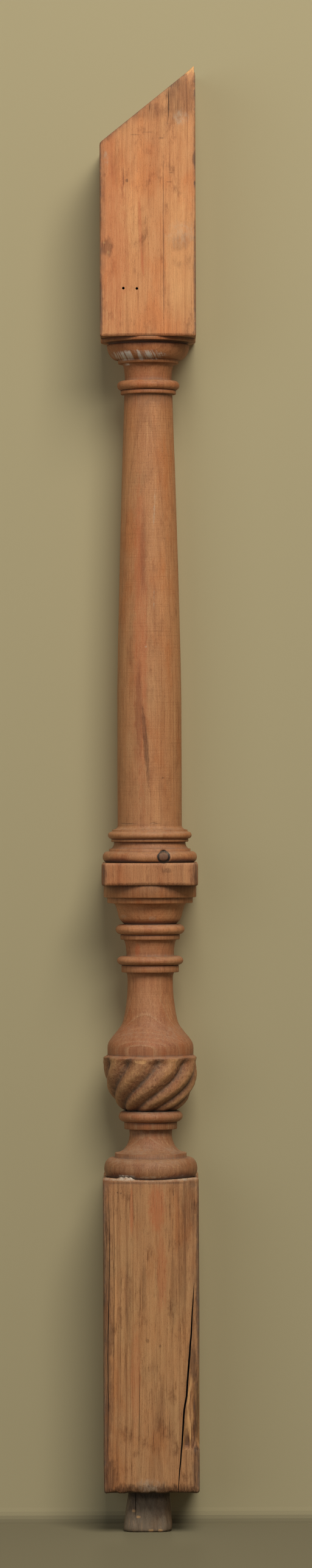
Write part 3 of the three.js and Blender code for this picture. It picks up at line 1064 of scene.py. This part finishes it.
def grainColour(tree, seen):
    colour = figured(tree, seen, attribute(tree, "woodTone", "Color"), patchFigures)
    lateWood = product(tree, seen["late"], seen["rings"], wood["ringDark"])
    colour = darken(tree, colour, lateWood, wood["lateTint"])
    onVase = withinNodes(tree, "vaseRings", seen["z"])
    paleWood = product(tree, seen["late"], product(tree, onVase, 0.28))
    colour = mixColour(tree, paleWood, colour, wood["paleRing"])
    colour = figured(tree, seen, colour, fibreFigures)
    stained = remap(tree, seen["isTurned"], 0.0, 1.0, 1.0, 0.45)
    stained = product(tree, remap(tree, seen["dirt"], 0.53, 0.74, 0, 0.8), stained)
    colour = darken(tree, colour, stained, wood["dirtTint"])
    toolMarks = product(tree, remap(tree, seen["turning"], 0.5, 0.7, 0, 0.22), seen["isTurned"])
    colour = darken(tree, colour, toolMarks, wood["turningTint"])
    colour = darken(tree, colour, product(tree, seen["checks"], 0.6), wood["checkTint"])
    colour = darken(tree, colour, product(tree, seen["flecks"], 0.5), wood["fleckTint"])
    # the cup keeps the gouge's rough, mottled cut
    cut = product(tree, remap(tree, seen["gouged"], 0.5, 0.68, 0, 0.75), seen["inCup"])
    colour = darken(tree, colour, cut, wood["gougeTint"])
    cut = product(tree, remap(tree, seen["gouged"], 0.47, 0.32, 0, 0.5), seen["inCup"])
    return mixColour(tree, cut, colour, wood["paleGouge"])


# knot, with rings of its own and a black rim
def knotted(tree, seen, colour):
    radius = knot["radius"]
    flat = vectorCalc(tree, "SUBTRACT", seen["place"], (knot["x"], 0, knot["z"]))
    flat = vectorCalc(tree, "MULTIPLY", flat, (1, 0, 1))
    away = calc(tree, "MULTIPLY_ADD", seen["cloud"], 1.2, vectorCalc(tree, "LENGTH", flat))
    ring = calc(tree, "FRACT", product(tree, away, 1.3))
    inner = mixColour(tree, remap(tree, ring, 0.4, 0.9, 0, 0.55), wood["knotColour"], wood["knotRing"])
    inside = product(tree, remap(tree, away, radius + 0.8, radius + 0.5), seen["front"])
    colour = mixColour(tree, inside, colour, inner)
    rim = calc(tree, "ABSOLUTE", calc(tree, "SUBTRACT", away, radius + 0.65))
    rim = calc(tree, "SUBTRACT", rim, calc(tree, "MULTIPLY_ADD", seen["dirt"], 1.6, -0.75))
    rim = product(tree, remap(tree, rim, 0.75, 0.25), seen["front"])
    return mixColour(tree, rim, colour, wood["knotRim"])


# marks on the front, then wear, painted shade from ambient occlusion, grime mixed with painted shade, dust,
# old paint and crumbs
def wornAndShaded(tree, seen, colour):
    edge = calc(tree, "MULTIPLY_ADD", seen["markEdge"], 1.3, -0.65)
    group = markGroup()
    layer = {kind: product(tree, markLayer(tree, group, kind, seen["x"], seen["z"], edge), seen["front"])
             for kind in marks}
    streaks, blotches = seen["streaks"], seen["blotches"]
    freshAndHighlight = calc(tree, "MAXIMUM", seen["freshAndHighlight"], layer["freshAndHighlight"])
    colour = mixColour(tree, product(tree, layer["red"], streaks), colour, wood["redColour"])
    colour = mixColour(tree, product(tree, freshAndHighlight, streaks), colour, wood["highlightAndFreshColour"])
    colour = darken(tree, colour, product(tree, layer["dark"], streaks), wood["markTint"])
    colour = mixColour(tree, product(tree, layer["grey"], blotches), colour, wood["greyColour"])
    # painted shade: ambient occlusion darkens creases and recesses and is also added to the grime-and-shade
    # mix
    occlusionShade = addNode(tree, "ShaderNodeAmbientOcclusion", {"Distance": wood["shadeOcclusionReach"] * mm},
                      samples=6, only_local=True).outputs["AO"]
    colour = darken(tree, colour, remap(tree, occlusionShade, 0.93, 0.4, 0, 0.92), wood["paintedShadeTint"])
    grimeAndShade = calc(tree, "MULTIPLY", seen["grimeAndShade"], remap(tree, blotches, 0, 1, 0.45, 1.0), clamp=True)
    seen["grimeAndShade"] = calc(tree, "MAXIMUM", grimeAndShade, remap(tree, occlusionShade, 0.6, 0.2))
    colour = mixColour(tree, product(tree, seen["grimeAndShade"], 0.8), colour, wood["shadeAndGrimeColour"])
    patchy = remap(tree, blotches, 0, 1, 0.25, 1.0)
    seen["dust"] = calc(tree, "MULTIPLY", seen["dust"], patchy, clamp=True)
    colour = mixColour(tree, product(tree, seen["dust"], 0.8), colour, wood["dustColour"])
    sideways = calc(tree, "MULTIPLY_ADD", seen["z"], 0.5, seen["x"])
    slanted = addNode(tree, "ShaderNodeCombineXYZ", {0: sideways, 2: seen["z"]}).outputs[0]
    stripes = remap(tree, noise(tree, slanted, (0.85, 1, 0.06), 3.0, 0.6), 0.4, 0.6)
    colour = mixColour(tree, product(tree, layer["paint"], stripes), colour, wood["paintColour"])
    crumbs = product(tree, attribute(tree, "crumbs", "Fac"), blotches)
    return mixColour(tree, crumbs, colour, wood["crumbColour"])


def woodMaterial():
    material = bpy.data.materials.new("aged_softwood")
    material.use_nodes = True
    tree = material.node_tree
    tree.nodes.clear()
    seen = woodPatterns(tree)
    colour = wornAndShaded(tree, seen, knotted(tree, seen, grainColour(tree, seen)))
    dull = product(tree, calc(tree, "MAXIMUM", seen["dust"], seen["grimeAndShade"]), 0.3)
    rough = remap(tree, seen["fine"], 0.2, 0.8, wood["roughness"] - 0.08, wood["roughness"] + 0.14)
    rough = calc(tree, "ADD", rough, dull, clamp=True)
    height = 0.0
    for name, amount in grainHeights:
        height = calc(tree, "MULTIPLY_ADD", seen[name], amount, height)
    bump = addNode(tree, "ShaderNodeBump", {"Strength": wood["bump"], "Height": height,
                                            "Distance": wood["bumpHeight"] * mm})
    shader = addNode(tree, "ShaderNodeBsdfPrincipled", {
        "Base Color": colour, "Roughness": rough, "Normal": bump.outputs[0],
        "Specular IOR Level": wood["sheen"]})
    addNode(tree, "ShaderNodeOutputMaterial", {"Surface": shader.outputs[0]})
    return material


baluster.data.materials.clear()
baluster.data.materials.append(woodMaterial())
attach(baluster, "root")
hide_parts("baluster")
print("wood finished")


# Stage, a pale backdrop close behind and a floor below

stage = {"width": 4, "height": 2.4, "behind": 28.6, "cove": 9, "depth": 2.5,
         "colour": (.405, .355, .215, 1), "mottling": (.42, .36, .22, 1), "floorShade": 0.4}


def stageMaterial():
    material = bpy.data.materials.new("pale_backdrop")
    material.use_nodes = True
    tree = material.node_tree
    tree.nodes.clear()
    place = addNode(tree, "ShaderNodeTexCoord").outputs["Object"]
    mottling = noise(tree, place, (9, 9, 9), 4.0)
    colour = mixColour(tree, remap(tree, mottling, 0.3, 0.7, 0, 0.1), stage["colour"], stage["mottling"])
    geometry = addNode(tree, "ShaderNodeNewGeometry").outputs
    upright = addNode(tree, "ShaderNodeSeparateXYZ", {0: geometry["Normal"]})
    shade = remap(tree, upright.outputs[2], 0.0, 1.0, 1.0, stage["floorShade"])
    shades = addNode(tree, "ShaderNodeCombineXYZ", dict.fromkeys(range(3), shade)).outputs[0]
    colour = vectorCalc(tree, "MULTIPLY", colour, shades)
    paper = addNode(tree, "ShaderNodeBsdfDiffuse", {"Color": colour, "Roughness": 0.5})
    clear = addNode(tree, "ShaderNodeBsdfTransparent")
    behind = geometry["Backfacing"]
    shadowRay = addNode(tree, "ShaderNodeLightPath").outputs["Is Shadow Ray"]
    seeThrough = calc(tree, "MAXIMUM", behind, shadowRay)
    mix = addNode(tree, "ShaderNodeMixShader", {0: seeThrough, 1: paper.outputs[0], 2: clear.outputs[0]})
    addNode(tree, "ShaderNodeOutputMaterial", {"Surface": mix.outputs[0]})
    return material


def addSheet(name, profile, material):
    half = stage["width"] / 2
    points = [(x, y, z) for y, z in profile for x in (-half, half)]
    faces = [(2 * i, 2 * i + 1, 2 * i + 3, 2 * i + 2) for i in range(len(profile) - 1)]
    mesh = bpy.data.meshes.new(name)
    mesh.from_pydata(points, [], faces)
    mesh.materials.append(material)
    return linked(name, mesh)


def addStage():
    material = stageMaterial()
    back, cove = stage["behind"] * mm, stage["cove"] * mm
    turns = shares(6)[1:] * math.pi / 2
    foot = [(back - cove + cove * math.sin(t), cove - cove * math.cos(t)) for t in turns]
    backdrop = addSheet("backdrop", foot + [(back, stage["height"])], material)
    floor = addSheet("floor", [(-stage["depth"], 0), (stage["depth"], 0)], material)
    return floor, backdrop


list(addStage())

# Lights, the window is above and a little to the right

lights = {
    "window": {"at": (0.45, -1.65, 2.0), "aim": (0, 0, 0.47), "size": 1.15, "power": 54,
               "colour": (1, .95, .87)},
    "room": {"at": (-1.6, -2.4, 0.9), "aim": (0, 0, 0.42), "size": 2, "power": 15, "colour": (.93, .96, 1)},
    "behind": {"at": (0, 2.6, 0.7), "aim": (0, 0, 0.42), "size": 0.25, "power": 45, "colour": (1, .96, .9)},
}
ambient = {"colour": (.95, .97, 1, 1), "strength": 0.2}


def addLights():
    for name, light in lights.items():
        lamp = bpy.data.lights.new(name, "AREA")
        lamp.size = light["size"]
        lamp.energy = light["power"]
        lamp.color = light["colour"]
        made = linked(name, lamp)
        made.location = light["at"]
        towards = Vector(light["aim"]) - Vector(light["at"])
        made.rotation_euler = towards.to_track_quat("-Z", "Y").to_euler()
        made.visible_camera = False
        made.visible_glossy = name != "behind"
    world = bpy.data.worlds.new("room")
    world.use_nodes = True
    background = world.node_tree.nodes["Background"]
    background.inputs["Color"].default_value = ambient["colour"]
    background.inputs["Strength"].default_value = ambient["strength"]
    bpy.context.scene.world = world


camera = {"at": (0.0037, -3.22, 0.4284), "lens": 128.6, "sensor": 36, "roll": 0.19}


def addCamera():
    lens = bpy.data.cameras.new("camera")
    lens.lens = camera["lens"]
    lens.sensor_width = camera["sensor"]
    lens.dof.use_dof = False
    made = linked("camera", lens)
    made.location = camera["at"]
    made.rotation_euler = (math.pi / 2, math.radians(camera["roll"]), 0)
    bpy.context.scene.camera = made


addLights()
addCamera()
bpy.context.scene.view_settings.view_transform = "Standard"
print("stage, lights and camera set")
